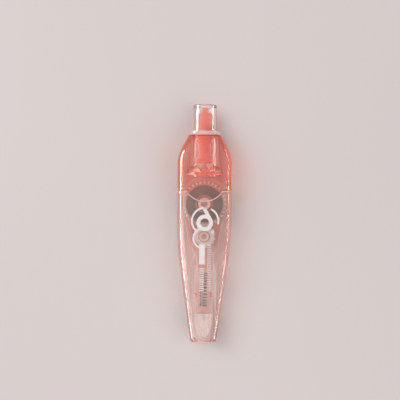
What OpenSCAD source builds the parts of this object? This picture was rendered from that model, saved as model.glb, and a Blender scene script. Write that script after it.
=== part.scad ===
// Push-button correction tape, pen type, lying on its back.
// +Y runs from the tip to the button, +Z comes out of the printed front, X goes across.
// The origin is in the middle of the length and width, on the surface it lies on.

/* [Body] */
// Length from the mouth of the barrel to the top of the button
total_l = 131; // [131:0.5:133]
// Width across the barrel
body_w = 29.8; // [29.8:0.2:31]
// Thickness from back to front
body_t = 20; // [20:0.2:21]
// Wall of the barrel and the cover
wall = 1.2; // [1:0.1:1.2]
// Height of the seam between barrel and cover
seam_y = 17.2; // [16.8:0.1:17.4]
// Width of the barrel's mouth, outside
mouth_w = 12.3; // [12.2:0.1:12.6]

/* [Button] */
// Diameter of the part of the button that stands out
button_d = 12.9; // [12.7:0.1:12.9]
// Travel of the button and the refill
travel = 9; // [8:0.5:9]
// Number of teeth on the cam crown and the rotor
cam_teeth = 8; // [6:1:8]

/* [Reels] */
// Module of the two gears
gear_m = 0.75; // [0.75:0.01:0.76]
// Teeth of the supply gear
supply_teeth = 32; // [32:1:32]
// Teeth of the take-up gear
take_up_teeth = 16; // [16:1:16]
// Radius of the full roll of tape
roll_r = 10.2; // [8:0.1:10.2]
// Width of the tape
tape_w = 5; // [4.2:0.1:5]

/* [Spring] */
// Outer diameter of the return spring
spring_d = 4.4; // [4:0.1:4.4]
// Diameter of its wire
wire_d = 0.55; // [0.4:0.05:0.6]
// Number of its turns
spring_turns = 12; // [9:1:13]

/* [Hidden] */
$fn = 64;

// Places along the pen
mouth_y = -total_l / 2;
button_top_y = total_l / 2;
axis_z = body_t / 2;
half_w = body_w / 2;
half_t = body_t / 2 + 0.12;      // the bulge that the flat back and front cut off
cover_top_y = 49.3;
collar_top_y = 50.9;
crown_y = 30.2;                  // where the two crowns of cam teeth meet
frame_top_y = 25.3;

// The barrel's side: straight, then an arc, then a straight taper to the mouth
arc_r = 185;
arc_start_y = 2;
taper = 0.147;
arc_end_y = arc_start_y - arc_r * sin(atan(taper));
mouth_round = 2.2;
mouth_shoulder_y = mouth_y + mouth_round;
thin_ratio = 0.516;              // loss of half thickness for each mm lost in half width

function arc_drop(r, run) = r - sqrt(r * r - run * run);
function taper_half_w(y) =
    y > arc_start_y ? half_w
    : y > arc_end_y ? half_w - arc_drop(arc_r, arc_start_y - y)
    : half_w - arc_drop(arc_r, arc_start_y - arc_end_y) - (arc_end_y - y) * taper;
function mouth_loss(y) = y > mouth_shoulder_y ? 0
    : 1.15 * (1 - sqrt(1 - pow((mouth_shoulder_y - y) / (mouth_round + 0.15), 2)));
function barrel_half_w(y) = taper_half_w(y) - mouth_loss(y);
function barrel_half_t(y) = half_t - (half_w - taper_half_w(y)) * thin_ratio - mouth_loss(y) * 0.7;

// The cover's side: straight, then an arc, then a straight shoulder
shoulder_slope = 0.528;
shoulder_r = 20;
shoulder_angle = atan(shoulder_slope);
cover_top_r = 8.7;
shoulder_end_y = cover_top_y - (half_w - arc_drop(shoulder_r, shoulder_r * sin(shoulder_angle)) - cover_top_r)
    / shoulder_slope;
shoulder_start_y = shoulder_end_y - shoulder_r * sin(shoulder_angle);
round_start_y = 40;
function cover_half_w(y) =
    y < shoulder_start_y ? half_w
    : y < shoulder_end_y ? half_w - arc_drop(shoulder_r, y - shoulder_start_y)
    : cover_top_r + (cover_top_y - y) * shoulder_slope;
function cover_half_t(y) = y < round_start_y ? half_t
    : half_t - (half_t - cover_top_r) * (1 - sqrt(1 - pow((y - round_start_y)
        / (cover_top_y - round_start_y + 0.4), 2))) / (1 - sqrt(1 - pow((cover_top_y - round_start_y)
        / (cover_top_y - round_start_y + 0.4), 2)));
// The section goes from a soft rectangle (power 4) to a circle (power 2)
function cover_power(y) = 2 + 2 * min(1, (cover_half_w(y) - cover_top_r) / (half_w - cover_top_r));

// One section of a shell: a superellipse as a list of points
sides = 48;
function signed_power(v, p) = sign(v) * pow(abs(v), p);
function section(y, a, b, power) = [for (i = [0:sides - 1]) let (t = 360 * i / sides)
    [a * signed_power(cos(t), 2 / power), y, axis_z + b * signed_power(sin(t), 2 / power)]];
function flat_section(a, b, power) = [for (p = section(0, a, b, power)) [p[0], p[2]]];
function steps(from, to, count) = [for (i = [0:count]) from + (to - from) * i / count];

// Tape and reel heights
tape_low = axis_z - tape_w / 2;
tape_high = axis_z + tape_w / 2;
floor_z = axis_z - 5.9;
floor_t = 1.1;
gear_low = axis_z - 4.5;
gear_t = 1.5;
supply_y = 10.84;
reel_gap = gear_m * (supply_teeth + take_up_teeth) / 2;
take_up_y = supply_y - reel_gap;
supply_post_r = 1.95;
take_up_post_r = 1.6;
core_r = 5;
spool_r = 3.9;
used_r = 5.3;
running = 0.05;                  // radial clearance of a turning fit

// The neck of the refill
neck_half = 5;
neck_top_y = -17.5;
neck_end_y = -49.5;
neck_low = axis_z - 4.1;
neck_floor_t = 1.2;
neck_wall_t = 0.9;
neck_top_z = neck_low + neck_floor_t;
neck_high = axis_z + 3;
wall_top_y = -25.5;
spring_top_y = -26.9;
spring_low_y = -45.6;
stop_half = 2.3;
stop_l = 2.9;
slot_end_y = spring_low_y - stop_l - 0.3;
slot_top_y = spring_low_y + travel + 0.3;

// The tip
tip_half_t = 3.45;
tip_plate_t = 0.8;
tip_half_w = 5.15;
tip_end_y = -62.6;
roller_y = -61.85;
roller_r = 1.3;
axle_r = 0.42;
tape_t = 0.1;
tape_x = 3.1;                    // where the two runs of tape pass down the neck
tape_edge_r = roller_r + 0.05 + tape_t / 2;

// A turned piece: points are [radius, height along Y] round the pen's axis
module pen_axis() translate([0, 0, axis_z]) rotate([-90, 0, 0]) children();
module turned(points) pen_axis() rotate_extrude() polygon(points);
// A disc or tube with its axis along Z
module tube(y, z, h, outer, inner) translate([0, y, z]) difference() {
    cylinder(r = outer, h = h);
    translate([0, 0, -1]) cylinder(r = inner, h = h + 2);
}
module block(x0, x1, y0, y1, z0, z1) translate([x0, y0, z0]) cube([x1 - x0, y1 - y0, z1 - z0]);
module both_sides() {
    children();
    mirror([1, 0, 0]) children();
}
module tooth_ring(count) for (i = [0:count - 1]) rotate([0, 0, 360 * i / count]) children();

// A thin-walled shell: a closed loop of sections, up the outside and down the inside
module shell(rings) {
    count = len(rings);
    points = [for (r = rings) for (p = section(r[0], r[1], r[2], r[3])) p];
    faces = [for (k = [0:count - 1]) for (i = [0:sides - 1])
        let (j = (i + 1) % sides, a = k * sides, b = ((k + 1) % count) * sides)
        each [[a + i, b + j, b + i], [a + i, a + j, b + j]]];
    polyhedron(points = points, faces = faces);
}

// The outline of the tongue that closes the cover on the front and the back of the barrel
tongue_r = 11.2;
tongue_drop = 5.3;
module tongue(grow) translate([0, seam_y - tongue_drop + tongue_r, -1])
    cylinder(r = tongue_r + grow, h = body_t + 2, $fn = 96);

function barrel_outer() = [for (y = concat(steps(mouth_y, mouth_shoulder_y, 4), steps(-55, arc_end_y, 2),
    steps(arc_end_y + 5, arc_start_y, 4), [seam_y])) [y, barrel_half_w(y), barrel_half_t(y), 4]];
function barrel_inner() = [for (y = concat([seam_y], steps(arc_start_y, arc_end_y, 5), [-40, -55,
    mouth_shoulder_y])) [y, taper_half_w(y) - wall, barrel_half_t(y) - wall, 4]];

module spigot(outer, inner, y0, y1) translate([0, y1, 0]) rotate([90, 0, 0]) linear_extrude(y1 - y0)
    difference() {
        polygon(flat_section(half_w - outer, half_t - outer, 4));
        polygon(flat_section(half_w - inner, half_t - inner, 4));
    }

// Pale see-through barrel with a flat back, two lips for the cover, rails and ledges
module barrel() color([0.98, 0.82, 0.80, 0.5]) {
    difference() {
        shell(concat(barrel_outer(), barrel_inner(),
            [[mouth_y, mouth_w / 2 - 1, barrel_half_t(mouth_y) - 1, 4]]));
        tongue(0.12);
        block(-20, 20, -70, 70, -5, 0);
        block(-20, 20, -70, 70, body_t, body_t + 5);
    }
    // lips behind the cover's tongues
    intersection() {
        union() {
            spigot(wall + 0.06, wall + 0.75, 9.5, 22.5);
            spigot(wall - 0.4, wall + 0.75, 9.5, seam_y - tongue_drop - 0.3);
        }
        block(-7.5, 7.5, 9, 23, -1, body_t + 1);
    }
    // ledges that hold the spring stop
    both_sides() block(3, 4.6, slot_end_y - 1.4, slot_end_y - 0.2,
        axis_z - barrel_half_t(slot_end_y) + wall / 2, neck_low - 0.35);
    // rails that the refill slides on
    both_sides() block(7.2, 8.2, -8, 9, wall - 0.2, floor_z - 0.35);
}

function cover_outer() = [for (y = concat([11.5, 24], steps(shoulder_start_y, shoulder_end_y, 6),
    steps(shoulder_end_y + 1.8, cover_top_y, 4))) [y, cover_half_w(y), cover_half_t(y), cover_power(y)]];
function cover_inner() = [for (y = concat(steps(cover_top_y - wall, shoulder_end_y, 4),
    steps(shoulder_end_y - 2, shoulder_start_y, 4), [11.5]))
    [y, cover_half_w(y) - wall, cover_half_t(y) - wall, cover_power(y)]];
sleeve_neck_r = 7.3;

// Coral see-through cover with round shoulders and a tongue at front and back
module upper_cover() color([0.95, 0.42, 0.38, 0.6]) difference() {
    shell(concat(cover_outer(), [[cover_top_y, sleeve_neck_r + running, sleeve_neck_r + running, 2],
        [cover_top_y - wall, sleeve_neck_r + running, sleeve_neck_r + running, 2]], cover_inner()));
    difference() {
        block(-20, 20, 5, seam_y + 0.1, -5, body_t + 5);
        tongue(0);
    }
    block(-20, 20, 5, 55, -5, 0);
    block(-20, 20, 5, 55, body_t, body_t + 5);
}

// Pale ring that trims the button's hole
module collar_ring() color([0.98, 0.80, 0.76]) turned([[button_d / 2 + 0.15, cover_top_y],
    [8.6, cover_top_y], [8.6, collar_top_y - 0.5], [8.1, collar_top_y], [button_d / 2 + 0.5, collar_top_y],
    [button_d / 2 + 0.15, collar_top_y - 0.35]]);

sleeve_r = 8.3;
bore_r = 6.95;
skirt_y = 26.8;
ledge_y = 28.4;
shoulder_y = 47.2;               // the button's step, which meets the sleeve's own step
// Coral tube that the button slides in, with a flared skirt at its lower end
module guide_sleeve() color([0.93, 0.33, 0.28, 0.8]) difference() {
    intersection() {
        turned([[bore_r, ledge_y], [8.9, ledge_y], [8.9, skirt_y], [10.4, skirt_y], [10.4, skirt_y + 1.1],
            [sleeve_r, 31.6], [sleeve_r, 45.9], [sleeve_neck_r, 47.6], [sleeve_neck_r, cover_top_y],
            [button_d / 2 + 0.15, cover_top_y], [button_d / 2 + 0.15, shoulder_y + 0.3],
            [bore_r, shoulder_y + 0.3]]);
        block(-12, 12, 20, 55, axis_z - 8.65, axis_z + 8.65);
    }
    // four grooves for the button's ribs
    pen_axis() tooth_ring(4) translate([0, -0.7, ledge_y - 1]) cube([7.45, 1.4, 46 - ledge_y + 1]);
}

tube_r = 6.8;
tube_bore = 5.15;
crown_h = 1.9;
core_bore = 1.55;
// Notches of a crown of cam teeth, cut upwards or downwards from height y
module crown_notches(y, up) pen_axis() tooth_ring(cam_teeth) translate([0, -4.6, 0]) rotate([90, 0, 0])
    linear_extrude(3) polygon([[-2.2, y - up * 0.2], [2.2, y - up * 0.2], [0, y + up * crown_h]]);

// Clear button: a round cap, a wider tube below the collar and cam teeth at its lower end
module push_button() color([0.97, 0.93, 0.92, 0.4]) {
    difference() {
        turned(concat([[tube_bore, crown_y + 0.05], [tube_r, crown_y + 0.05], [tube_r, shoulder_y],
            [button_d / 2, shoulder_y]],
            [for (t = steps(0, 90, 5)) [button_d / 2 - 1.1 + 1.1 * cos(t), button_top_y - 1.1 + 1.1 * sin(t)]],
            [[0, button_top_y], [0, button_top_y - 1.2], [tube_bore - 0.6, button_top_y - 1.2],
            [tube_bore, button_top_y - 1.9]]));
        crown_notches(crown_y, 1);
    }
    // socket for the core's plug
    turned([[2.16, 60.7], [3, 60.7], [3, button_top_y - 1.1], [2.16, button_top_y - 1.1]]);
    // ribs that keep it from turning
    pen_axis() tooth_ring(4) translate([tube_r - 0.3, -0.5, 37]) cube([0.7, 1, 8]);
}

// Coral core that fits the button's socket and carries the rotor
module button_core() color([0.93, 0.33, 0.28]) turned([[0, 41.5], [core_bore, 41.5],
    [core_bore, 33.6], [tube_bore - 0.05, 33.6], [tube_bore - 0.05, 34.6], [3.4, 35], [3.4, 44],
    [4.6, 44.3], [4.6, 45], [3.4, 45.2], [3.4, 46.5], [tube_bore - 0.05, 46.5],
    [tube_bore - 0.05, 47.5], [3.8, 47.8], [3.8, 60.2], [3.5, 60.5], [2.13, 60.5], [2.13, 64],
    [1.9, 64.2], [0, 64.2]]);

rotor_low_y = frame_top_y + 0.2;
// Coral rotor: a crown facing the button's, lugs under the sleeve's ledge and a pin up the core
module cam_rotor() color([0.90, 0.30, 0.26]) difference() {
    union() {
        turned([[0, rotor_low_y], [4.2, rotor_low_y], [4.6, rotor_low_y + 0.4], [6.2, rotor_low_y + 0.4],
            [6.2, crown_y - 0.05], [4, crown_y - 0.05], [4, 28.2], [core_bore - running, 28.2],
            [core_bore - running, 40.2], [1.1, 41], [0, 41]]);
        pen_axis() tooth_ring(cam_teeth) translate([5.8, -0.7, rotor_low_y + 0.4]) cube([2.1, 1.4, 2.3]);
    }
    // the notches face up, half a tooth round
    pen_axis() rotate([0, 0, 180 / cam_teeth]) tooth_ring(cam_teeth) translate([0, -3.7, 0])
        rotate([90, 0, 0]) linear_extrude(4)
            polygon([[-2, crown_y + 0.2], [2, crown_y + 0.2], [0, crown_y - crown_h + 0.1]]);
}

// A swept wire: the rings of points round a helix along Y
wire_steps = 14;
wire_sides = 6;
wire_r = wire_d / 2;
spring_mean_r = spring_d / 2 - wire_r;
spring_len = spring_top_y - spring_low_y - wire_d - 0.1;
function helix_at(s) = [spring_mean_r * cos(360 * s), spring_low_y + 0.05 + wire_r + spring_len
    * (s < 1 ? 0.045 * s : s > spring_turns - 1 ? 1 - 0.045 * (spring_turns - s)
    : 0.045 + 0.91 * (s - 1) / (spring_turns - 2)), axis_z + spring_mean_r * sin(360 * s)];
module return_spring() color([0.25, 0.27, 0.28]) {
    rings = spring_turns * wire_steps;
    points = [for (k = [0:rings]) let (s = k / wire_steps, c = helix_at(s)) for (j = [0:wire_sides - 1])
        let (t = 360 * j / wire_sides) c + wire_r * [cos(t) * cos(360 * s), sin(t), cos(t) * sin(360 * s)]];
    faces = concat([[for (j = [0:wire_sides - 1]) j]],
        [[for (j = [wire_sides - 1:-1:0]) rings * wire_sides + j]],
        [for (k = [0:rings - 1]) for (j = [0:wire_sides - 1]) let (a = k * wire_sides, b = a + wire_sides,
            n = (j + 1) % wire_sides) each [[a + j, b + j, b + n], [a + j, b + n, a + n]]]);
    polyhedron(points = points, faces = faces);
}

// Block that rests on the barrel's ledges and carries the lower end of the spring
module spring_stop() color([0.90, 0.62, 0.58]) {
    stop_y = spring_low_y - stop_l;
    block(-4.4, 4.4, stop_y, spring_low_y, axis_z - 5.8, neck_low - 0.35);
    block(-stop_half, stop_half, stop_y, spring_low_y, neck_low - 0.5, neck_high - 0.3);
    translate([0, spring_low_y - 0.1, axis_z]) rotate([-90, 0, 0]) cylinder(r = 1.25, h = 2.5);
}

// The refill's floor: two round ends joined by tangents, with a wider round top
floor_r = 12.5;
foot_r = 8.8;
foot_y = -9.5;
floor_lean = asin((floor_r - foot_r) / (supply_y - foot_y));
module floor_outline(less) {
    translate([0, supply_y]) circle(r = floor_r - less);
    translate([0, foot_y]) circle(r = foot_r - less);
    polygon([for (c = [[supply_y, floor_r - less, 1], [foot_y, foot_r - less, 1], [foot_y, foot_r - less, -1],
        [supply_y, floor_r - less, -1]]) [c[2] * c[1] * cos(floor_lean), c[0] - c[1] * sin(floor_lean)]]);
}
rim_r = frame_top_y - supply_y;
rim_t = 1.1;
rim_angle = 38;
pin_r = 0.7;
pin_left = [-tape_x - tape_t / 2 - pin_r - 0.04, -24.6];
pin_right = [tape_x - tape_t / 2 - pin_r - 0.04, -24.9];
// Coral see-through frame: floor, rim, two posts, and the neck that holds the spring
module refill_frame() color([0.96, 0.62, 0.58, 0.7]) {
    difference() {
        union() {
            translate([0, 0, floor_z]) linear_extrude(floor_t) floor_outline(0);
            // low lip round the foot
            translate([0, 0, floor_z]) linear_extrude(floor_t + 1.3) intersection() {
                difference() {
                    floor_outline(0.15);
                    floor_outline(0.95);
                }
                translate([-20, -30]) square([40, 30]);
            }
            // tall rim round the top
            translate([0, supply_y, floor_z]) rotate([0, 0, rim_angle])
                rotate_extrude(angle = 180 - 2 * rim_angle) {
                    translate([rim_r - rim_t, 0]) square([rim_t, axis_z - floor_z + 4]);
                    translate([floor_r - 1, 0]) square([rim_r - floor_r + 0.5, floor_t]);
                }
            block(-neck_half, neck_half, neck_top_y - 1.2, neck_top_y + 1.6, floor_z, neck_top_z);
            block(-neck_half, neck_half, neck_end_y, neck_top_y, neck_low, neck_top_z);
            both_sides()
                block(neck_half - neck_wall_t, neck_half, neck_end_y, wall_top_y, neck_low, neck_high);
            // seat and nose for the spring's upper end
            block(-stop_half, stop_half, spring_top_y, spring_top_y + 1, neck_low, neck_high);
            translate([0, spring_top_y + 0.2, axis_z]) rotate([90, 0, 0]) cylinder(r = 1.25, h = 2.7);
            // posts of the reels
            translate([0, supply_y, floor_z]) cylinder(r = supply_post_r, h = axis_z + 5 - floor_z);
            translate([0, take_up_y, floor_z]) cylinder(r = take_up_post_r, h = axis_z + 4.6 - floor_z);
            // posts that turn the tape into the neck
            for (p = [pin_left, pin_right]) translate([p[0], p[1], neck_low])
                cylinder(r = pin_r, h = neck_high - neck_low);
        }
        block(-stop_half - 0.2, stop_half + 0.2, slot_end_y, slot_top_y, neck_low - 1, neck_top_z + 1);
        both_sides() translate([rivet_x, rivet_y, neck_high - 2.5]) cylinder(r = 0.62, h = 5);
    }
}

rivet_x = neck_half - 0.8;
rivet_y = -39.1;
// Clear strip that closes the neck
module neck_cover() color([0.97, 0.90, 0.88, 0.5]) difference() {
    block(-neck_half, neck_half, neck_end_y + 0.2, wall_top_y, neck_high, neck_high + 0.9);
    both_sides() translate([rivet_x, rivet_y, neck_high - 1]) cylinder(r = 0.64, h = 3);
}
// Two coral pips that hold the strip
module neck_rivets() color([0.90, 0.30, 0.26]) both_sides()
    translate([rivet_x, rivet_y, neck_high - 2.3]) rotate_extrude()
        polygon([[0, 0], [0.6, 0], [0.6, 3.2], [1.05, 3.2], [0.95, 3.6], [0.6, 3.85], [0, 3.95]]);

// Two snap caps on the posts
module reel_caps() color([0.97, 0.88, 0.85]) {
    tube(supply_y, tape_high + 1.1, 0.9, 3.4, supply_post_r);
    tube(take_up_y, tape_high + 1, 0.8, 2.7, take_up_post_r);
}

// A spur gear with straight-sided teeth
module gear(y, teeth, turn, bore) translate([0, y, gear_low]) difference() {
    r = gear_m * teeth / 2;
    linear_extrude(gear_t) polygon([for (i = [0:teeth - 1]) let (a = turn + 360 * i / teeth, p = 360 / teeth)
        each [for (q = [[-0.31, -1.2], [-0.13, 0.92], [0.13, 0.92], [0.31, -1.2]])
            (r + q[1] * gear_m) * [cos(a + q[0] * p), sin(a + q[0] * p)]]]);
    translate([0, 0, -1]) cylinder(r = bore, h = gear_t + 2);
}
boss_r = 3.3;
// Supply gear with the boss that the core sits on
module supply_gear() color([0.97, 0.72, 0.68, 0.8]) {
    gear(supply_y, supply_teeth, -90, supply_post_r + running);
    tube(supply_y, gear_low + gear_t - 0.2, tape_high + 0.9 - gear_low - gear_t + 0.2, boss_r,
        supply_post_r + running);
}
clutch_r = 4.3;
module clutch_ring() color([0.46, 0.27, 0.20]) tube(supply_y, tape_low + 0.2, tape_w - 0.4, clutch_r, boss_r);
module supply_core() color([0.55, 0.33, 0.26]) tube(supply_y, tape_low - 0.3, tape_w + 0.6, core_r, clutch_r);
module tape_roll() color([0.92, 0.91, 0.89]) tube(supply_y, tape_low, tape_w, roll_r, core_r);

take_up_boss_r = 2.5;
// Take-up gear with its boss; half a tooth is turned so that it meshes
module take_up_gear() color([0.97, 0.72, 0.68, 0.8]) {
    gear(take_up_y, take_up_teeth, 90 + 180 / take_up_teeth, take_up_post_r + running);
    tube(take_up_y, gear_low + gear_t - 0.2, tape_high + 0.8 - gear_low - gear_t + 0.2, take_up_boss_r,
        take_up_post_r + running);
}
take_up_clutch_r = 3.1;
module take_up_clutch() color([0.46, 0.27, 0.20])
    tube(take_up_y, tape_low + 0.2, tape_w + 0.2, take_up_clutch_r, take_up_boss_r);
module take_up_spool() color([0.95, 0.93, 0.92]) {
    tube(take_up_y, tape_low - 0.4, tape_w + 0.7, spool_r, take_up_clutch_r);
    tube(take_up_y, tape_low - 0.4, 0.3, used_r + 0.7, spool_r - 0.2);
}
module take_up_tape() color([0.85, 0.85, 0.84, 0.8]) tube(take_up_y, tape_low, tape_w, used_r, spool_r);

// Tape: a ribbon of even thickness along a path of points
function unit(v) = v / norm(v);
function tangent_point(c, r, p, side) = let (d = p - c, a = atan2(d[1], d[0]), b = acos(r / norm(d)))
    c + r * [cos(a + side * b), sin(a + side * b)];
function side_of(path, i) =
    let (d = unit(path[min(i + 1, len(path) - 1)] - path[max(i - 1, 0)])) [-d[1], d[0]];
module ribbon(path) translate([0, 0, tape_low]) linear_extrude(tape_w) polygon(concat(
    [for (i = [0:len(path) - 1]) path[i] + side_of(path, i) * tape_t / 2],
    [for (i = [len(path) - 1:-1:0]) path[i] - side_of(path, i) * tape_t / 2]));
tape_in = [-tape_x, -24.6];
tape_back = [tape_x, -24.7];
tip_bend = -50.6;
roller_c = [0, roller_y];
roller_lean = atan((tape_x - tape_edge_r) / (tip_bend - roller_y));
module tape_out() color([0.97, 0.97, 0.96]) ribbon(concat(
    [tangent_point([0, supply_y], roll_r + 0.12, tape_in, -1), tape_in, [-tape_x, tip_bend]],
    [for (t = steps(180 + roller_lean, 270, 8)) roller_c + tape_edge_r * [cos(t), sin(t)]]));
module tape_return() color([0.86, 0.86, 0.85, 0.8]) ribbon(concat(
    [for (t = steps(270, 360 - roller_lean, 8)) roller_c + tape_edge_r * [cos(t), sin(t)]],
    [[tape_x, tip_bend], tape_back, tangent_point([0, take_up_y], used_r + 0.12, tape_back, -1)]));

// The tip's side: an ogive from the neck to the roller
function tip_half(y) = let (t = (neck_end_y - y) / (neck_end_y - tip_end_y))
    0.95 + (tip_half_w - 0.95) * pow(1 - pow(t, 2.1), 0.62);
module tip_outline() {
    side = [for (y = steps(neck_end_y, tip_end_y, 12)) [tip_half(y), y]];
    polygon(concat(side, [for (i = [len(side) - 1:-1:0]) [-side[i][0], side[i][1]]]));
}
web_end_y = -59;
edge_end_y = -57;
// Cream tip: two plates, a web between the two runs of tape and an edge outside each
module tip_holder() color([0.96, 0.94, 0.88]) difference() {
    translate([0, 0, axis_z - tip_half_t]) linear_extrude(2 * tip_half_t) tip_outline();
    translate([0, 0, axis_z - tip_half_t + tip_plate_t]) linear_extrude(2 * (tip_half_t - tip_plate_t)) {
        // the way of the tape on each side of the web, open below
        for (s = [-1, 1]) polygon([
            [s * (tape_x - 0.5), neck_end_y + 1], [s * (tape_x + 0.5), neck_end_y + 1],
            [s * (tape_x + 0.5), tip_bend - 0.4], [s * 2.5, edge_end_y], [s * 6, edge_end_y], [s * 6, -66],
            [0, -66], [0, web_end_y], [s * 1, web_end_y], [s * (tape_x - 0.5), tip_bend + 0.2]]);
    }
    translate([0, roller_y, axis_z - 5]) cylinder(r = axle_r, h = 10);
}
module press_roller() color([0.94, 0.92, 0.86]) tube(roller_y, tape_low - 0.1, tape_w + 0.2, roller_r,
    axle_r + running);
module roller_axle() color([0.75, 0.76, 0.78]) translate([0, roller_y, axis_z - tip_half_t])
    cylinder(r = axle_r, h = 2 * tip_half_t);

barrel();
upper_cover();
collar_ring();
guide_sleeve();
push_button();
button_core();
cam_rotor();
return_spring();
spring_stop();
refill_frame();
neck_cover();
neck_rivets();
reel_caps();
supply_gear();
clutch_ring();
supply_core();
tape_roll();
take_up_gear();
take_up_clutch();
take_up_spool();
take_up_tape();
tape_out();
tape_return();
tip_holder();
press_roller();
roller_axle();
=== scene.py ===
"""Looks of the push-button correction tape roller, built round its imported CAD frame.

The shape code works in millimetres: the pen lies along y with its mouth at the low end and its front up z.
"""
import math

import bpy
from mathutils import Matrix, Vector


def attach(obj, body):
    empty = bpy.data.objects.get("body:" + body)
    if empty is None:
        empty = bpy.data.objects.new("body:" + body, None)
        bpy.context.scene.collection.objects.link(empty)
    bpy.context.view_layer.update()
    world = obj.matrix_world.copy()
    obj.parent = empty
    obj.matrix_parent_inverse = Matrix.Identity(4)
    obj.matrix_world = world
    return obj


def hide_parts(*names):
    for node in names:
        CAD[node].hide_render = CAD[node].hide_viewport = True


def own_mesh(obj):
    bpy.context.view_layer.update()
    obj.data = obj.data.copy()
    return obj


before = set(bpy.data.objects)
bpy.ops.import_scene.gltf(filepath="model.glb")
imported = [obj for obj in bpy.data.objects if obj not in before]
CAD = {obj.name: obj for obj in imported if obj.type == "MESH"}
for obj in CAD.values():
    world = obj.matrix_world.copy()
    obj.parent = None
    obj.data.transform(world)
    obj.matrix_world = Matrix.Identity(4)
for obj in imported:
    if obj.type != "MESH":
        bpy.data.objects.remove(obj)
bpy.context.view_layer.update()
MM = 0.001

# ---------------------------------------------------------------- the shells' shape, as in the CAD source
AXIS_Z = 10.0
FRONT_Z = 20.0                                  # the flat front; the flat back lies at 0
WALL = 1.2
HALF_W, HALF_T = 14.9, 10.12
TIP_Y, SEAM_Y, COVER_TOP = -65.5, 17.2, 49.3
ARC_R, ARC_TOP, TAPER = 185.0, 2.0, 0.147
ARC_END = ARC_TOP - ARC_R * math.sin(math.atan(TAPER))
THINNING = 0.516                                # half thickness lost for each mm of half width
MOUTH_EDGE = 0.3                                # radius of the mouth's edges
NOSE_Y, NOSE_RUN, NOSE_LOSS = -63.3, 2.35, 1.15  # the barrel's end is rounded in from NOSE_Y
SHOULDER_SLOPE, SHOULDER_R, TOP_R = 0.528, 20.0, 8.7
DOME_Y, DOME_RUN = 40.0, 9.7                    # the cover's front and back curve in from DOME_Y to its top
TONGUE_R, TONGUE_DROP = 11.2, 5.3
SEAM_GAP = 0.12                                 # between the cover's tongue and the barrel
SEAM_OUT, SEAM_IN = 0.22, 0.16                  # radii of the outer and inner edges at the seam
SUPPLY_Y, TAKE_UP_Y = 10.84, -7.16              # the reels' axes


def arc_drop(r, run):
    return r - math.sqrt(max(r * r - run * run, 0.0))


# where the shoulder's arc ends: it then runs straight to the top at its slope
SHOULDER_RUN = SHOULDER_R * math.sin(math.atan(SHOULDER_SLOPE))
SHOULDER_END = COVER_TOP - (HALF_W - arc_drop(SHOULDER_R, SHOULDER_RUN) - TOP_R) / SHOULDER_SLOPE
SHOULDER_START = SHOULDER_END - SHOULDER_RUN


def taper_w(y):
    if y > ARC_TOP:
        return HALF_W
    if y > ARC_END:
        return HALF_W - arc_drop(ARC_R, ARC_TOP - y)
    return HALF_W - arc_drop(ARC_R, ARC_TOP - ARC_END) - (ARC_END - y) * TAPER


def taper_t(y):
    return HALF_T - (HALF_W - taper_w(y)) * THINNING


def nose_loss(y):
    return 0.0 if y > NOSE_Y else NOSE_LOSS * (1 - math.sqrt(1 - ((NOSE_Y - y) / NOSE_RUN) ** 2))


def barrel_w(y):
    return taper_w(y) - nose_loss(y)


def barrel_t(y):
    return taper_t(y) - nose_loss(y) * 0.7


def barrel_power(y):
    return 4.0


def cover_w(y):
    if y < SHOULDER_START:
        return HALF_W
    if y < SHOULDER_END:
        return HALF_W - arc_drop(SHOULDER_R, y - SHOULDER_START)
    return TOP_R + (COVER_TOP - y) * SHOULDER_SLOPE


def cover_t(y):
    if y < DOME_Y:
        return HALF_T
    part = 1 - math.sqrt(1 - ((y - DOME_Y) / DOME_RUN) ** 2)
    return HALF_T - (HALF_T - TOP_R) * part / (1 - math.sqrt(1 - ((COVER_TOP - DOME_Y) / DOME_RUN) ** 2))


def cover_power(y):
    """Four along the body, falling to a circle's two at the top."""
    return 2 + 2 * min(1.0, (cover_w(y) - TOP_R) / (HALF_W - TOP_R))


def power(v, p):
    return math.copysign(abs(v) ** p, v)


def quadrant():
    """Angles of one quarter of a section, close together where the tongue's edge runs up."""
    side = [math.asin(v * v) for v in (0, .12, .24, .36, .48, .6, .7, .79)]
    corner = [math.acos(u * u) for u in (.86, .83, .79, .75, .71, .68, .66, .65)]
    degrees = (59, 58, 56, 53, *range(50, 0, -4))
    tongue = [math.acos((TONGUE_R * math.sin(math.radians(t)) / HALF_W) ** 2) for t in degrees]
    return side + corner + tongue + [math.pi / 2]


QUARTER = quadrant()
AROUND = (QUARTER + [math.pi - a for a in reversed(QUARTER[:-1])]
          + [math.pi + a for a in QUARTER[1:]] + [2 * math.pi - a for a in reversed(QUARTER[1:-1])])


def tongue_edge(angle, grow, level=SEAM_Y):
    """The seam: level at the sides, dipping in a round tongue over the middle of the front and back."""
    x = HALF_W * abs(math.cos(angle)) ** 0.5
    if x >= TONGUE_R:
        return level
    return min(level, SEAM_Y - TONGUE_DROP + TONGUE_R - math.sqrt((TONGUE_R + grow) ** 2 - x * x))


def ring(y_of, inset, w_of, t_of, p_of):
    """A section moved in by inset, at one height or at a height for each angle."""
    out = []
    for a in AROUND:
        y = y_of(a) if callable(y_of) else y_of
        w, t, p = w_of(y) - inset, t_of(y) - inset, p_of(y)
        z = AXIS_Z + t * power(math.sin(a), 2 / p)
        if inset < 0.9:
            # only the outside is cut flat at the front and back
            z = min(max(z, inset), FRONT_Z - inset)
        out.append((w * power(math.cos(a), 2 / p), y, z))
    return out


def barrel_ring(y_of, inset=0.0):
    return ring(y_of, inset, barrel_w, barrel_t, barrel_power)


def bore_ring(y_of, inset=WALL):
    return ring(y_of, inset, taper_w, taper_t, barrel_power)


def even_ring(y, w, t):
    """A level section of the barrel's kind, with a stated half width and half thickness."""
    return ring(y, 0, lambda v: w, lambda v: t, barrel_power)


def cover_ring(y_of, inset=0.0):
    return ring(y_of, inset, cover_w, cover_t, cover_power)


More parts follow.
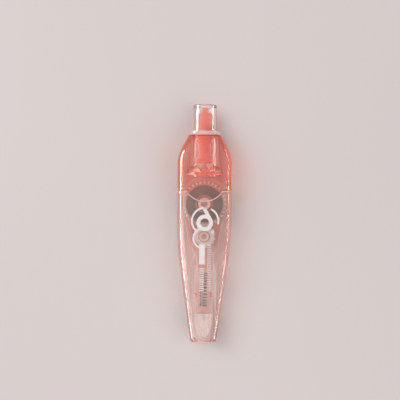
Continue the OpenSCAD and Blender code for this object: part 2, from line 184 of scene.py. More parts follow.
# ---------------------------------------------------------------- helpers for meshes
def between(low, high, n):
    return [low + (high - low) * i / n for i in range(n + 1)]


def loft(rings, loop=True):
    """Faces between rings of the same count, the last joined to the first."""
    n, verts, faces = len(rings[0]), [p for r in rings for p in r], []
    for i in range(len(rings) if loop else len(rings) - 1):
        a, b = i * n, (i + 1) % len(rings) * n
        for j in range(n):
            k = (j + 1) % n
            faces.append((a + j, a + k, b + k, b + j))
    return verts, faces


def hoop(outline, low, high, lift, under):
    """A thin closed band between the outlines at low and high, from under to lift off the surface."""
    return loft([outline(low, lift), outline(high, lift), outline(high, under), outline(low, under)])


def layer(top, bottom, nx, ny):
    """A closed layer between two grids of points, each of ny + 1 rows of nx + 1."""
    w, half, faces = nx + 1, len(top), []
    for j in range(ny):
        for i in range(nx):
            a = j * w + i
            faces += [(a, a + 1, a + w + 1, a + w), (a + half, a + w + half, a + w + 1 + half, a + 1 + half)]
    for i in range(nx):
        a, b = i, ny * w + i
        faces += [(a, a + half, a + 1 + half, a + 1), (b, b + 1, b + 1 + half, b + half)]
    for j in range(ny):
        a, b = j * w, j * w + nx
        faces += [(a, a + w, a + w + half, a + half), (b, b + half, b + w + half, b + w)]
    return top + bottom, faces


def slab(x0, x1, y0, y1, top, bottom, nx=16, ny=6):
    """A plate whose top and bottom follow two height functions of (x, y)."""
    spots = [(x, y) for y in between(y0, y1, ny) for x in between(x0, x1, nx)]
    return layer([(x, y, top(x, y)) for x, y in spots], [(x, y, bottom(x, y)) for x, y in spots], nx, ny)


def join(parts):
    """Several closed solids' vertices and faces as one."""
    verts, faces = [], []
    for v, f in parts:
        n = len(verts)
        verts += v
        faces += [tuple(i + n for i in face) for face in f]
    return verts, faces


def piece(name, shape, material, body, smooth=True):
    """An object from (vertices, faces) in millimetres, its faces turned outwards, riding on a body."""
    verts, faces = shape
    mesh = bpy.data.meshes.new(name)
    mesh.from_pydata([(x * MM, y * MM, z * MM) for x, y, z in verts], [], faces)
    mesh.validate()
    volume = 0.0
    for p in mesh.polygons:
        v = [mesh.vertices[i].co for i in p.vertices]
        for i in range(1, len(v) - 1):
            volume += v[0].dot(v[i].cross(v[i + 1]))
    if volume < 0:
        mesh.flip_normals()
    mesh.polygons.foreach_set("use_smooth", [smooth] * len(mesh.polygons))
    if smooth:
        mesh.set_sharp_from_angle(angle=math.radians(30))
    mesh.materials.append(material)
    obj = bpy.data.objects.new(name, mesh)
    bpy.context.scene.collection.objects.link(obj)
    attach(obj, body)
    return obj


# ---------------------------------------------------------------- helpers for materials
def start(name):
    mat = bpy.data.materials.new(name)
    mat.use_nodes = True
    tree = mat.node_tree
    tree.nodes.clear()
    out = tree.nodes.new("ShaderNodeOutputMaterial")
    return mat, tree.nodes.new, tree.links.new, out


def noise(new, link, where, scale, detail=3.0, rough=0.5, stretch=(1, 1, 1)):
    mapping = new("ShaderNodeMapping")
    mapping.inputs["Scale"].default_value = stretch
    link(where, mapping.inputs["Vector"])
    tex = new("ShaderNodeTexNoise")
    tex.inputs["Scale"].default_value = scale
    tex.inputs["Detail"].default_value = detail
    tex.inputs["Roughness"].default_value = rough
    link(mapping.outputs["Vector"], tex.inputs["Vector"])
    return tex.outputs["Fac"]


def spread(new, link, value, low, high, from_low=0.3, from_high=0.7):
    """The value mapped from one range to another and held inside it."""
    node = new("ShaderNodeMapRange")
    node.inputs["From Min"].default_value = from_low
    node.inputs["From Max"].default_value = from_high
    node.inputs["To Min"].default_value = low
    node.inputs["To Max"].default_value = high
    link(value, node.inputs["Value"])
    return node.outputs["Result"]


def ramp(new, link, value, stops):
    node = new("ShaderNodeValToRGB")
    while len(node.color_ramp.elements) < len(stops):
        node.color_ramp.elements.new(0.5)
    for e, (at, colour) in zip(node.color_ramp.elements, stops):
        e.position = at
        e.color = (*colour, 1)
    link(value, node.inputs["Fac"])
    return node.outputs["Color"]


def combine(new, link, operation, a, b):
    node = new("ShaderNodeMath")
    node.operation = operation
    link(a, node.inputs[0])
    link(b, node.inputs[1])
    return node.outputs[0]


def bumped(new, link, height, shader, strength, distance_mm):
    bump = new("ShaderNodeBump")
    bump.inputs["Strength"].default_value = strength
    bump.inputs["Distance"].default_value = distance_mm * MM
    link(height, bump.inputs["Height"])
    link(bump.outputs["Normal"], shader.inputs["Normal"])


def facing_away(new, blend):
    """0 where a surface faces the eye, 1 where it is seen edge on."""
    node = new("ShaderNodeLayerWeight")
    node.inputs["Blend"].default_value = blend
    return node.outputs["Facing"]


def along(new, link, where, at_low, at_high, low_y, high_y):
    """A value that runs from at_low to at_high between two places along the pen."""
    parts = new("ShaderNodeSeparateXYZ")
    link(where, parts.inputs[0])
    return spread(new, link, parts.outputs["Y"], at_low, at_high, low_y * MM, high_y * MM)


def off_axis(new, link, where, centre_y, inside, outside, from_mm, to_mm):
    """A value that changes from inside to outside between two distances from a reel's axis."""
    at = new("ShaderNodeMapping")
    at.inputs["Location"].default_value = (0, -centre_y * MM, 0)
    at.inputs["Scale"].default_value = (1, 1, 0)
    link(where, at.inputs["Vector"])
    far = new("ShaderNodeVectorMath")
    far.operation = "LENGTH"
    link(at.outputs["Vector"], far.inputs[0])
    return spread(new, link, far.outputs["Value"], inside, outside, from_mm * MM, to_mm * MM)


def edges(new, link, radius_mm, reach):
    """How near a sharp edge of the part a point is: 0 on its faces, reach on the edge."""
    bevel = new("ShaderNodeBevel")
    bevel.samples = 6
    bevel.inputs["Radius"].default_value = radius_mm * MM
    dot = new("ShaderNodeVectorMath")
    dot.operation = "DOT_PRODUCT"
    link(bevel.outputs["Normal"], dot.inputs[0])
    link(new("ShaderNodeNewGeometry").outputs["True Normal"], dot.inputs[1])
    return spread(new, link, dot.outputs["Value"], 0.0, reach, 0.98, 0.75)


# ---------------------------------------------------------------- kinds of material
def clear(name, absorb, density, shade, rim, rim_from, rim_to, ripple=0.003, scale=70,
          piped_light=None, glow=0.0, frost=None, lines=None):
    """Clear moulded plastic: bright surface, colour that deepens with its walls' length, faint flow ripples.

    rim is its colour seen edge on. piped_light: (low y, high y, a neighbour's rim colour), painted in as that
    neighbour's light piped along the walls.
    glow: how much of the edges turns from clear to the diffuse rim colour, a painted glow. frost: (low y,
    high y, share let through) for an unpolished lower end.
    lines: (low y, high y, depth) for pale streaks, painted highlights of light caught in the walls.
    """
    mat, new, link, out = start(name)
    where = new("ShaderNodeTexCoord").outputs["Object"]
    flow = noise(new, link, where, scale, 2.0, 0.45, (1, 0.3, 1))
    haze = noise(new, link, where, scale * 9, 3.0)
    facing = facing_away(new, 0.5)
    p = new("ShaderNodeBsdfPrincipled")
    p.inputs["IOR"].default_value = 1.49
    p.inputs["Transmission Weight"].default_value = 1
    link(spread(new, link, haze, 0.005, 0.017), p.inputs["Roughness"])
    bumped(new, link, flow, p, 0.25, ripple)

    colour = ramp(new, link, facing, [(rim_from, (1, 1, 1)), (rim_to, rim)])
    # painted light: towards high y the rim turns to a neighbour's colour, as if its light were piped along
    # the walls
    if piped_light:
        low_y, high_y, tone = piped_light
        blend = new("ShaderNodeMix")
        blend.data_type = "RGBA"
        link(along(new, link, where, 0, 1, low_y, high_y), blend.inputs["Factor"])
        link(colour, blend.inputs["A"])
        link(ramp(new, link, facing, [(rim_from, (1, 1, 1)), (rim_to, tone)]), blend.inputs["B"])
        colour = blend.outputs["Result"]
    link(colour, p.inputs["Base Color"])

    # painted glow: seen edge on, part of the surface turns from clear to the diffuse rim colour
    if glow:
        link(spread(new, link, facing, 1, 1 - glow, 0.55, 0.9), p.inputs["Transmission Weight"])
    if frost:
        low_y, high_y, through = frost
        link(along(new, link, where, through, 1, low_y, high_y), p.inputs["Transmission Weight"])
    # pale streaks along the pen, strongest at low y: painted highlights of light caught inside the walls
    if lines:
        low_y, high_y, depth = lines
        drawn = noise(new, link, where, 1100, 1.0, 0.5, (1, 0.012, 0.4))
        drawn = combine(new, link, "MULTIPLY", spread(new, link, drawn, 0, depth, 0.58, 0.70),
                        along(new, link, where, 1, 0, low_y, high_y))
        link(spread(new, link, drawn, 1, 0, 0, 1), p.inputs["Transmission Weight"])

    # shadows and the floor's light pass straight through, with a slight tint
    let_by = new("ShaderNodeBsdfTransparent")
    let_by.inputs["Color"].default_value = (*shade, 1)
    path = new("ShaderNodeLightPath")
    mix = new("ShaderNodeMixShader")
    passing = combine(new, link, "MAXIMUM", path.outputs["Is Shadow Ray"], path.outputs["Is Diffuse Ray"])
    link(passing, mix.inputs[0])
    link(p.outputs[0], mix.inputs[1])
    link(let_by.outputs[0], mix.inputs[2])
    link(mix.outputs[0], out.inputs["Surface"])
    volume = new("ShaderNodeVolumeAbsorption")
    volume.inputs["Color"].default_value = (*absorb, 1)
    volume.inputs["Density"].default_value = density
    link(volume.outputs[0], out.inputs["Volume"])
    return mat


def misty(name, tint, face_tint, body, share, edge_share, rough=0.18, edge_mm=0.0, lit=0.6,
          teeth=None, streaks=None, posts=()):
    """Thin see-through moulded part inside the shell: tinted, brighter and denser towards its edges, glossy.

    share and edge_share: how much it covers seen face on and edge on. lit: the same on its sharp edges, a
    pale outline painted as light caught along them.
    teeth: (axis y, root radius) of a gear. streaks: a darker colour drawn along it.
    posts: (axis y, radius) of each.
    """
    mat, new, link, out = start(name)
    where = new("ShaderNodeTexCoord").outputs["Object"]
    flow = noise(new, link, where, 200, 3.0)
    fine = noise(new, link, where, 2000, 3.0)
    p = new("ShaderNodeBsdfPrincipled")
    p.inputs["Base Color"].default_value = (*body, 1)
    p.inputs["Coat Weight"].default_value = 0.4
    if streaks:
        drawn = noise(new, link, where, 900, 2.0, 0.5, (1, 0.05, 0.3))
        link(ramp(new, link, drawn, [(0.36, streaks), (0.62, body)]), p.inputs["Base Color"])
    link(spread(new, link, fine, rough * 0.6, rough * 1.5), p.inputs["Roughness"])
    bumped(new, link, flow, p, 0.5, 0.01)

    facing = facing_away(new, 0.35)
    let_by = new("ShaderNodeBsdfTransparent")
    link(ramp(new, link, facing, [(0.15, tint), (0.9, face_tint)]), let_by.inputs["Color"])
    cover = combine(new, link, "MULTIPLY", spread(new, link, facing, share, edge_share, 0.1, 0.9),
                    spread(new, link, flow, 0.8, 1.2))
    # pale outlines on sharp edges: painted highlights
    if edge_mm:
        cover = combine(new, link, "MAXIMUM", cover, edges(new, link, edge_mm, lit))
    if teeth:
        # a gear's teeth are drawn nearly opaque and pale against its disc: painted light, standing in for the
        # light they catch
        axis_y, root = teeth
        cover = combine(new, link, "MAXIMUM", cover,
                        off_axis(new, link, where, axis_y, 0, 0.97, root, root + 0.2))
    for axis_y, radius in posts:
        # solid posts let less through than the plates round them
        cover = combine(new, link, "MAXIMUM", cover,
                        off_axis(new, link, where, axis_y, 0.28, 0, radius - 0.1, radius))
    mix = new("ShaderNodeMixShader")
    link(cover, mix.inputs[0])
    link(let_by.outputs[0], mix.inputs[1])
    link(p.outputs[0], mix.inputs[2])
    link(mix.outputs[0], out.inputs["Surface"])
    return mat


def gear_plastic(name, axis_y, root):
    return misty(name, (1.0, 0.97, 0.965), (0.97, 0.90, 0.88), (1.0, 0.93, 0.91), 0.15, 0.85, rough=0.16,
                 edge_mm=0.3, lit=0.9, teeth=(axis_y, root))


def moulded(name, low, high, rough=0.35, grain=0.01, scale=160, shine=0.5, through=0.0, coat=0.0):
    """Opaque or slightly see-through moulded plastic with a faint grain and uneven colour."""
    mat, new, link, out = start(name)
    where = new("ShaderNodeTexCoord").outputs["Object"]
    cloud = noise(new, link, where, scale, 3.0)
    fine = noise(new, link, where, scale * 14, 4.0, 0.6)
    p = new("ShaderNodeBsdfPrincipled")
    link(ramp(new, link, cloud, [(0.3, low), (0.7, high)]), p.inputs["Base Color"])
    link(spread(new, link, fine, rough * 0.75, rough * 1.3), p.inputs["Roughness"])
    p.inputs["Specular IOR Level"].default_value = shine
    p.inputs["Coat Weight"].default_value = coat
    p.inputs["Subsurface Weight"].default_value = through
    p.inputs["Subsurface Radius"].default_value = (0.003, 0.0012, 0.001)
    p.inputs["Subsurface Scale"].default_value = 0.6
    bumped(new, link, fine, p, 0.4, grain)
    link(p.outputs[0], out.inputs["Surface"])
    return mat


def metal(name, low, high, rough, stretch):
    """Drawn steel. stretch has a small number in the direction of its drawing marks."""
    mat, new, link, out = start(name)
    where = new("ShaderNodeTexCoord").outputs["Object"]
    drawn = noise(new, link, where, 900, 3.0, 0.6, stretch)
    p = new("ShaderNodeBsdfPrincipled")
    p.inputs["Metallic"].default_value = 1
    link(ramp(new, link, drawn, [(0.25, low), (0.75, high)]), p.inputs["Base Color"])
    link(spread(new, link, drawn, rough * 0.7, rough * 1.4), p.inputs["Roughness"])
    bumped(new, link, drawn, p, 0.3, 0.004)
    link(p.outputs[0], out.inputs["Surface"])
    return mat


def wound(name, axis_y, dark, light, pitch_mm, rough=0.6):
    """The edge of a roll of tape: fine rings about the reel's axis, uneven in height and tone."""
    mat, new, link, out = start(name)
    where = new("ShaderNodeTexCoord").outputs["Object"]
    mapping = new("ShaderNodeMapping")
    mapping.inputs["Location"].default_value = (0, -axis_y * MM, 0)
    link(where, mapping.inputs["Vector"])
    rings = new("ShaderNodeTexWave")
    rings.wave_type = "RINGS"
    rings.rings_direction = "Z"
    rings.inputs["Scale"].default_value = math.pi / 10 / (pitch_mm * MM)
    rings.inputs["Distortion"].default_value = 0.6
    rings.inputs["Detail"].default_value = 2
    rings.inputs["Detail Scale"].default_value = 0.4
    link(mapping.outputs["Vector"], rings.inputs["Vector"])
    cloud = noise(new, link, where, 230, 3.0)
    blend = new("ShaderNodeMath")
    blend.operation = "MULTIPLY_ADD"
    blend.inputs[1].default_value = 0.35
    link(rings.outputs["Fac"], blend.inputs[0])
    link(cloud, blend.inputs[2])
    p = new("ShaderNodeBsdfPrincipled")
    link(ramp(new, link, blend.outputs[0], [(0.3, dark), (0.95, light)]), p.inputs["Base Color"])
    link(spread(new, link, cloud, rough * 0.8, rough * 1.2), p.inputs["Roughness"])
    bumped(new, link, rings.outputs["Fac"], p, 0.5, 0.015)
    link(p.outputs[0], out.inputs["Surface"])
    return mat


# ---------------------------------------------------------------- the part's materials
# the barrel's rim turns coral towards the seam: painted coral light, as if piped down from the cover
BARREL = clear("barrel_clear", (0.95, 0.56, 0.46), 130, (0.995, 0.98, 0.975),
               rim=(0.88, 0.58, 0.56), rim_from=0.08, rim_to=0.45, ripple=0.0015,
               piped_light=(-12, 12, (1.0, 0.56, 0.46)), lines=(-30, -8, 0.3))
# seen edge on, the cover turns partly diffuse coral: a painted glow
COVER = clear("cover_coral", (0.95, 0.32, 0.17), 250, (1.0, 0.985, 0.98),
              rim=(1.0, 0.18, 0.06), rim_from=0.24, rim_to=0.62, ripple=0.0015, glow=0.8)
SLEEVE = clear("coral_deep", (0.98, 0.36, 0.16), 70, (1.0, 0.99, 0.985),
               rim=(1.0, 0.28, 0.12), rim_from=0.35, rim_to=0.75, scale=120)
BUTTON = clear("button_clear", (0.97, 0.88, 0.86), 30, (0.995, 0.985, 0.985),
               rim=(0.78, 0.58, 0.60), rim_from=0.22, rim_to=0.58, scale=110, frost=(31.6, 32.4, 0.6))

COLLAR = misty("collar_pale", (0.98, 0.84, 0.81), (0.95, 0.62, 0.56), (1.0, 0.72, 0.67), 0.60, 0.9,
               rough=0.15, edge_mm=0.35)
CAM = misty("cam_coral", (1.0, 0.80, 0.76), (1.0, 0.62, 0.55), (1.0, 0.50, 0.42), 0.55, 0.9,
            rough=0.2, edge_mm=0.35, lit=0.95)
REFILL = misty("refill_pink", (0.985, 0.90, 0.885), (0.96, 0.82, 0.80), (1.0, 0.90, 0.88), 0.06, 0.55,
               rough=0.14, edge_mm=0.55, lit=1.0, posts=((SUPPLY_Y, 2.0), (TAKE_UP_Y, 1.65)))
STRIP = misty("strip_clear", (1.0, 0.99, 0.99), (0.97, 0.93, 0.92), (1.0, 0.92, 0.91), 0.10, 0.55,
              rough=0.08, edge_mm=0.3, lit=0.55)
SUPPLY_GEAR = gear_plastic("gear_pink", SUPPLY_Y, 11.15)
TAKE_UP_GEAR = gear_plastic("gear_pink_small", TAKE_UP_Y, 5.15)
TIP = misty("tip_cream_clear", (0.99, 0.97, 0.96), (0.96, 0.90, 0.87), (1.0, 0.98, 0.96), 0.80, 0.97,
            rough=0.2, edge_mm=0.35, lit=1.0, streaks=(0.90, 0.76, 0.71))
LIP = misty("seam_lip_clear", (0.995, 0.985, 0.98), (0.97, 0.90, 0.88), (0.95, 0.85, 0.83), 0.02, 0.35,
            rough=0.06)
# pale bands laid over edges: painted highlights where those edges catch the light
RIM_HIGHLIGHT = misty("rim_painted_highlight", (1.0, 0.96, 0.95), (0.98, 0.85, 0.82), (1.0, 0.86, 0.83), 0.55, 0.85, rough=0.2)
FAINT = misty("print_faint", (1, 1, 1), (1, 1, 1), (0.92, 0.86, 0.85), 0.5, 0.55, rough=0.5)

CORE = moulded("core_coral", (0.84, 0.20, 0.15), (0.94, 0.27, 0.21), rough=0.5, through=0.35, shine=0.06)
# the sleeve skirt's coral, brightened into a painted glow of light gathered in its edge
EDGE = moulded("skirt_edge_painted_glow", (0.94, 0.17, 0.08), (1.0, 0.24, 0.13), through=0.3)
CAP = moulded("cap_pale", (0.89, 0.59, 0.54), (0.96, 0.69, 0.64), rough=0.3, through=0.3)
RUBBER = moulded("clutch_rubber", (0.42, 0.22, 0.15), (0.52, 0.29, 0.21), rough=0.6, grain=0.02)
ROSY = moulded("core_rosy", (0.46, 0.25, 0.18), (0.56, 0.32, 0.25), rough=0.4, through=0.2, coat=0.2)
WHITE = moulded("core_white", (0.78, 0.72, 0.70), (0.86, 0.81, 0.79), rough=0.45, through=0.1)
CREAM = moulded("tip_cream", (0.84, 0.78, 0.71), (0.90, 0.85, 0.79), rough=0.3, through=0.35, coat=0.2)
TAPE_RUN = moulded("tape_white", (0.84, 0.82, 0.80), (0.92, 0.90, 0.88), rough=0.6, grain=0.004)
FILM_RUN = moulded("carrier_film", (0.72, 0.69, 0.68), (0.82, 0.79, 0.78), rough=0.25, grain=0.003)
INK = moulded("print_white", (0.85, 0.79, 0.775), (0.92, 0.87, 0.855), rough=0.5, grain=0.002, scale=400)

TAPE = wound("tape_roll_edge", SUPPLY_Y, (0.14, 0.098, 0.086), (0.225, 0.165, 0.146), 0.42)
FILM = wound("carrier_film_edge", TAKE_UP_Y, (0.66, 0.60, 0.58), (0.86, 0.81, 0.79), 0.30, rough=0.4)
STEEL = metal("spring_steel", (0.16, 0.15, 0.15), (0.34, 0.32, 0.32), 0.32, (1, 1, 1))
AXLE = metal("axle_steel", (0.55, 0.55, 0.56), (0.72, 0.72, 0.73), 0.22, (1, 1, 0.1))

FINISHES = {
    "collar_ring": COLLAR, "guide_sleeve": SLEEVE, "push_button": BUTTON, "button_core": CORE,
    "cam_rotor": CAM, "spring_stop": REFILL, "refill_frame": REFILL, "neck_cover": STRIP, "neck_rivets": CAM,
    "supply_gear": SUPPLY_GEAR, "clutch_ring": RUBBER, "supply_core": ROSY, "tape_roll": TAPE,
    "take_up_gear": TAKE_UP_GEAR, "take_up_clutch": RUBBER, "take_up_spool": WHITE, "take_up_tape": FILM,
    "reel_caps": CAP, "tape_out": TAPE_RUN, "tape_return": FILM_RUN,
    "tip_holder": TIP, "press_roller": CREAM, "roller_axle": AXLE}
for node, finish in FINISHES.items():
    CAD[node].data.materials.clear()
    CAD[node].data.materials.append(finish)
# thin clear parts let the light past
for node in ("refill_frame", "neck_cover", "supply_gear", "take_up_gear"):
    CAD[node].visible_shadow = False


# ---------------------------------------------------------------- barrel: clear shell open at both ends
def seam(drop):
    return lambda a: tongue_edge(a, SEAM_GAP) - drop


def up_to_seam(share):
    """Part of the way from where the taper starts up to the seam's rounded edge."""
    return lambda a: ARC_TOP + (tongue_edge(a, SEAM_GAP) - SEAM_OUT - ARC_TOP) * share


def rounding(radius, steps=4):
    """(drop, inset) pairs round a quarter circle, from the wall's outside to its end."""
    quarter = [math.radians(90 * (i + 1) / steps) for i in range(steps)]
    return [(radius * (1 - math.sin(a)), radius * (1 - math.cos(a))) for a in quarter]


def barrel_rings():
    """The barrel's skin: up its outside, over the seam's edge, down its inside and out at the mouth."""
    shares = (.3, .55, .75, .88, .95, 1)
    rings = [barrel_ring(y) for y in (-65.2, -65.0, -64.7, -64.3, -63.8, -63.3)]
    rings += [barrel_ring(y) for y in between(-62.5, ARC_END, 10)]
    rings += [barrel_ring(y) for y in between(ARC_END, ARC_TOP, 12)[1:]]
    rings += [barrel_ring(up_to_seam(s)) for s in shares]
    rings += [barrel_ring(seam(drop), inset) for drop, inset in rounding(SEAM_OUT)]
    rings += [barrel_ring(seam(drop), WALL - inset) for drop, inset in reversed(rounding(SEAM_IN))]
    rings += [bore_ring(up_to_seam(s)) for s in reversed(shares)]
    rings += [bore_ring(y) for y in reversed(between(ARC_END, ARC_TOP, 12))]
    rings += [bore_ring(y) for y in reversed(between(-63.6, ARC_END, 10)[:-1])]
    hole_w, hole_t = 5.15, barrel_t(TIP_Y) - 1.0
    rings += [even_ring(y, hole_w + grow, hole_t + grow) for y, grow in ((-64.6, 0.04), (-65.2, 0.0))]
    rings += [even_ring(TIP_Y + drop, hole_w + inset, hole_t + inset)
              for drop, inset in rounding(MOUTH_EDGE)]
    end_w, end_t = barrel_w(TIP_Y + MOUTH_EDGE), barrel_t(TIP_Y + MOUTH_EDGE)
    rings += [even_ring(TIP_Y + drop, end_w - inset, end_t - inset)
              for drop, inset in reversed(rounding(MOUTH_EDGE))]
    return rings


def bulge(x, w, t):
    """How far a section's front stands off the axis at x."""
    return t * (1 - min(abs(x) / w, 0.999) ** 4) ** 0.25


def wall_z(inset, side):
    """Height of the barrel's front (side 1) or back (-1) wall, moved in by inset."""
    return lambda x, y: AXIS_Z + side * bulge(x, taper_w(y) - inset, taper_t(y) - inset)


# lips at front and back that reach up behind the cover's tongues
lips = [slab(-7.4, 7.4, 9.6, 22.4, wall_z(WALL + 0.06, s), wall_z(WALL + 0.75, s)) for s in (1, -1)]
# rails and ledges that stand on the back wall and guide the refill: their x and y ranges, height and rows
GUIDES = ((7.2, 8.2, -8, 9, 3.75, 8), (3.0, 4.6, -50.2, -49.0, 5.55, 3))
inside = []
for side in (1, -1):
    for x0, x1, y0, y1, height, rows in GUIDES:
        low, high = sorted((side * x0, side * x1))
        inside.append(slab(low, high, y0, y1, lambda x, y: height, wall_z(WALL + 0.03, -1), 3, rows))
barrel = piece("barrel_shell", join([loft(barrel_rings())] + inside), BARREL, "barrel_body")
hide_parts("barrel")
lip = piece("seam_lips", join(lips), LIP, "barrel_body")


def end_line(inset, lift):
    """A line of the barrel's end face at the seam, moved out by lift."""
    return bore_ring(seam(-lift), inset)


def mouth_skin(lift):
    """The barrel's mouth from its side round to its end face, moved out by lift."""
    end_w, end_t = barrel_w(TIP_Y + MOUTH_EDGE) + lift, barrel_t(TIP_Y + MOUTH_EDGE) + lift
    rings = [barrel_ring(y, -lift) for y in (-64.7, -65.2)]
    rings += [even_ring(TIP_Y + drop - lift, end_w - inset, end_t - inset)
              for drop, inset in reversed(rounding(MOUTH_EDGE))]
    return rings + [even_ring(TIP_Y - lift, 5.5, barrel_t(TIP_Y) - 0.65)]


# pale bands on the barrel's end face at the seam and round its mouth: painted highlights of these edges
rim = piece("seam_face", hoop(end_line, 0.12, WALL - 0.08, 0.03, 0.008), RIM_HIGHLIGHT, "barrel_body")
rim = piece("mouth_rim", loft(mouth_skin(0.035) + mouth_skin(0.012)[::-1]), RIM_HIGHLIGHT, "barrel_body")


# ---------------------------------------------------------------- upper cover: coral shell with its top plate
def cover_edge(lift):
    return lambda a: tongue_edge(a, 0.0, SEAM_Y + 0.1) + lift


def cover_rise(share):
    """Part of the way from the cover's lower edge up to its shoulder."""
    return lambda a: cover_edge(SEAM_OUT)(a) + (SHOULDER_START - cover_edge(SEAM_OUT)(a)) * share


def plate(y, r):
    """A round outline in the cover's flat top or its hole."""
    return [(r * math.cos(a), y, AXIS_Z + r * math.sin(a)) for a in AROUND]


def cover_rings():
    """The cover's skin: over its lower edge, up its outside, in through the hole and down its inside."""
    shares = (0, .03, .08, .16, .28, .45, .65, .85)
    outer = between(SHOULDER_START, SHOULDER_END, 10) + between(SHOULDER_END, 48.9, 7)[1:]
    top = COVER_TOP - 0.03
    hole = ((49.2, 7.38), (48.7, 7.35), (48.25, 7.36), (48.1, 7.5))
    rings = [cover_ring(cover_edge(lift), WALL - inset) for lift, inset in rounding(SEAM_IN)]
    rings += [cover_ring(cover_edge(lift), inset) for lift, inset in reversed(rounding(SEAM_OUT))]
    rings += [cover_ring(cover_rise(s)) for s in shares]
    rings += [cover_ring(y) for y in outer]
    rings += [cover_ring(49.1, 0.04), cover_ring(49.22, 0.14)]
    rings += [plate(y, r) for y, r in ((top, TOP_R - 0.22), (top, 7.5), *hole)]
    rings += [cover_ring(47.9, WALL + 0.1)]
    rings += [cover_ring(y, WALL) for y in reversed([v for v in outer if v < 47.8])]
    rings += [cover_ring(cover_rise(s), WALL) for s in reversed(shares)]
    return rings


def cover_line(y_of, lift):
    return cover_ring(y_of, -lift)


def skirt(y, lift):
    """The outline of the guide sleeve's skirt, moved out by lift: a circle with a flat front and back."""
    r, flat = 10.4 + lift, 8.65 + lift
    return [(r * math.cos(a), y, AXIS_Z + min(max(r * math.sin(a), -flat), flat)) for a in AROUND]


# pale bands along the cover's lower edge and round its top: painted highlights of these edges
rims = [hoop(cover_line, cover_edge(0.05), cover_edge(0.55), 0.03, 0.01),
        hoop(cover_line, 48.75, 49.26, 0.03, 0.01)]
rim = piece("cover_rims", join(rims), RIM_HIGHLIGHT, "cover_body")
# a bright band round the sleeve skirt's lower edge: its coral plus a painted glow of the light gathered there
glow = piece("skirt_edge", hoop(skirt, 26.8, 27.2, 0.03, 0.012), EDGE, "cover_body")
cover = piece("cover_shell", loft(cover_rings()), COVER, "cover_body")
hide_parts("upper_cover")


# ---------------------------------------------------------------- return spring: round wire with closed ends
def coil(low, high, mean, wire, turns, steps=28, sides=10):
    """A helix of round wire of radius wire between two heights, its first and last turns lying flat."""
    low, high = low + wire, high - wire
    path = []
    for i in range(int(turns * steps) + 1):
        turn = i / steps
        if turn < 1:
            y = low + turn * wire
        elif turn > turns - 1:
            y = high - (turns - turn) * wire
        else:
            # the open turns, a little closer together at both ends
            share = (turn - 1) / (turns - 2)
            share -= 0.18 * math.sin(2 * math.pi * share) / (2 * math.pi)
            y = low + wire + (high - low - 2 * wire) * share
        a = 2 * math.pi * turn
        path.append(Vector((mean * math.cos(a), y, AXIS_Z + mean * math.sin(a))))
    rings = []
    for i, p in enumerate(path):
        on = (path[min(i + 1, len(path) - 1)] - path[max(i - 1, 0)]).normalized()
        out = Vector((p.x, 0, p.z - AXIS_Z)).normalized()
        up = on.cross(out).normalized()
        out = up.cross(on)
        rings.append([tuple(p + wire * (math.cos(b) * out + math.sin(b) * up))
                      for b in (2 * math.pi * k / sides for k in range(sides))])
    verts, faces = loft(rings, loop=False)
    faces += [tuple(range(sides)), tuple(range(len(verts) - 1, len(verts) - sides - 1, -1))]
    return verts, faces


wound_wire = coil(low=-45.6, high=-26.9, mean=1.925, wire=0.275, turns=13)
spring = piece("spring_wire", wound_wire, STEEL, "barrel_body")
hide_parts("return_spring")
# 18.7 mm long at rest, and the refill's 9 mm stroke takes up the difference
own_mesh(spring)


# ---------------------------------------------------------------- generic white print on the barrel's front
def inked(rows, lift=0.0):
    """A thin closed layer over the front, from rows of (x, y) points. lift keeps it above what it crosses."""
    spots = [p for row in rows for p in row]
    front = [min(AXIS_Z + bulge(x, barrel_w(y), barrel_t(y)), FRONT_Z) for x, y in spots]
    top, bottom = ([(x, y, z + off + lift) for (x, y), z in zip(spots, front)] for off in (0.035, 0.012))
    return layer(top, bottom, len(rows[0]) - 1, len(rows) - 1)


def arc(cx, cy, r0, r1, from_deg, to_deg, lift=0.0):
    n = max(6, int(abs(to_deg - from_deg) / 4))
    turns = [math.radians(a) for a in between(from_deg, to_deg, n)]
    rows = [[(cx + r * math.cos(a), cy + r * math.sin(a)) for r in between(r0, r1, 2)] for a in turns]
    return inked(rows, lift)


def stroke(x0, y0, x1, y1, width, lift=0.0):
    dx, dy = x1 - x0, y1 - y0
    length = math.hypot(dx, dy)
    nx, ny = -dy / length * width / 2, dx / length * width / 2
    rows = [[(x0 + dx * s + nx * k, y0 + dy * s + ny * k) for k in (-1, 0, 1)] for s in between(0, 1, 6)]
    return inked(rows, lift)


# a broken ring round a loop with a tail, a part ring, a bar and a row of short bars
marks = [arc(0.5, 1.5, 6.7, 7.7, 96, 236), arc(0.5, 1.5, 6.7, 7.7, -14, 64)]
marks += [arc(0.5, 1.5, 6.8, 7.9, -62, -48)]
marks += [arc(0.3, 0.5, 2.4, 4.5, 0, 360), stroke(3.55, 1.9, 0.1, 8.0, 1.9, 0.03)]
marks += [arc(-0.3, -7.9, 5.0, 6.0, 112, 250, 0.03)]
marks += [stroke(-1.05, -11.2, -1.05, -22.2, 3.1, 0.06)]
marks += [stroke(-2.3, y, 0.2, y, 0.55) for y in between(-24.6, -36.6, 10)]
ink = piece("front_print", join(marks), INK, "barrel_body", smooth=False)
# a second, fainter row of short bars beside the first
bars = [stroke(1.8, y, 4.2, y, 0.62) for y in between(-11.8, -36.4, 20)]
faint = piece("front_print_faint", join(bars), FAINT, "barrel_body", smooth=False)

# ---------------------------------------------------------------- floor, light and camera
scene = bpy.context.scene


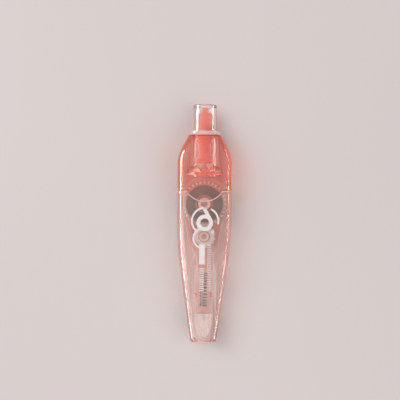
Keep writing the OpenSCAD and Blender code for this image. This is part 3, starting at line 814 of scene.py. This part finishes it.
def floor_paper():
    mat, new, link, out = start("floor_paper")
    where = new("ShaderNodeTexCoord").outputs["Object"]
    paper = noise(new, link, where, 1400, 4.0, 0.6)
    tone = noise(new, link, where, 3.0, 2.0)
    p = new("ShaderNodeBsdfDiffuse")
    link(ramp(new, link, tone, [(0.3, (0.80, 0.74, 0.73)), (0.7, (0.83, 0.775, 0.765))]), p.inputs["Color"])
    p.inputs["Roughness"].default_value = 0.6
    bumped(new, link, paper, p, 0.2, 0.02)
    link(p.outputs[0], out.inputs["Surface"])
    return mat


FLOOR_HALF = 1.5
mesh = bpy.data.meshes.new("floor")
mesh.from_pydata([(x * FLOOR_HALF, y * FLOOR_HALF, 0) for x, y in ((-1, -1), (1, -1), (1, 1), (-1, 1))], [],
                 [(0, 1, 2, 3)])
mesh.materials.append(floor_paper())
floor = bpy.data.objects.new("floor", mesh)
floor.location.z = -0.0002
scene.collection.objects.link(floor)

# the room's white walls are seen in reflections and through glass, and add less light of their own
world = bpy.data.worlds.new("studio")
scene.world = world
world.use_nodes = True
sky, tie = world.node_tree.nodes, world.node_tree.links.new
sky["Background"].inputs["Color"].default_value = (1.0, 0.985, 0.98, 1)
path = sky.new("ShaderNodeLightPath")
seen = combine(sky.new, tie, "MAXIMUM", path.outputs["Is Glossy Ray"], path.outputs["Is Transmission Ray"])
tie(spread(sky.new, tie, seen, 0.40, 0.70, 0, 1), sky["Background"].inputs["Strength"])


def lamp(name, place, target, size_x, size_y, watts, colour=(1, 1, 1)):
    """A rectangular lamp at place, turned to face target."""
    light = bpy.data.lights.new(name, "AREA")
    light.shape = "RECTANGLE"
    light.size, light.size_y = size_x, size_y
    light.energy, light.color = watts, colour
    obj = bpy.data.objects.new(name, light)
    obj.location = place
    obj.rotation_euler = (Vector(target) - Vector(place)).to_track_quat("-Z", "Y").to_euler()
    scene.collection.objects.link(obj)
    return obj


# two broad lamps light the part and the floor
key = lamp("key", (-0.55, 0.25, 0.75), (0, 0, 0), 0.7, 0.7, 4.6)
fill = lamp("fill", (0.6, -0.2, 0.7), (0, 0, 0), 0.6, 0.6, 2.0, (1.0, 0.98, 0.97))
for broad in (key, fill):
    broad.visible_glossy = False
    broad.visible_transmission = False
# three more are seen only in reflections and through clear parts
left = lamp("left_strip", (-0.42, 0.0, 0.05), (0, 0.0, 0.01), 0.62, 0.035, 9)
right = lamp("right_strip", (0.42, 0.0, 0.045), (0, 0.0, 0.01), 0.62, 0.04, 2.4)
soft = lamp("left_soft", (-0.42, -0.18, 0.20), (0, -0.03, 0.01), 0.36, 0.22, 1.0)
for strip in (left, right, soft):
    strip.visible_diffuse = False
    strip.visible_camera = False

VIEW_WIDTH = 0.2207                             # how much of the table the picture shows
camera_data = bpy.data.cameras.new("camera")
camera_data.lens = 120
camera_data.sensor_width = 36
camera_data.clip_end = 10
camera = bpy.data.objects.new("camera", camera_data)
camera.location = (-0.0024, 0.0129, AXIS_Z * MM + VIEW_WIDTH * camera_data.lens / camera_data.sensor_width)
camera.rotation_euler = (0, 0, math.radians(0.57))
scene.collection.objects.link(camera)
scene.camera = camera

scene.view_settings.view_transform = "Standard"
scene.cycles.max_bounces = 32
scene.cycles.transmission_bounces = 32
scene.cycles.glossy_bounces = 8
scene.cycles.diffuse_bounces = 4
scene.cycles.transparent_max_bounces = 64
scene.cycles.caustics_reflective = False
scene.cycles.caustics_refractive = False
scene.cycles.use_denoising = True
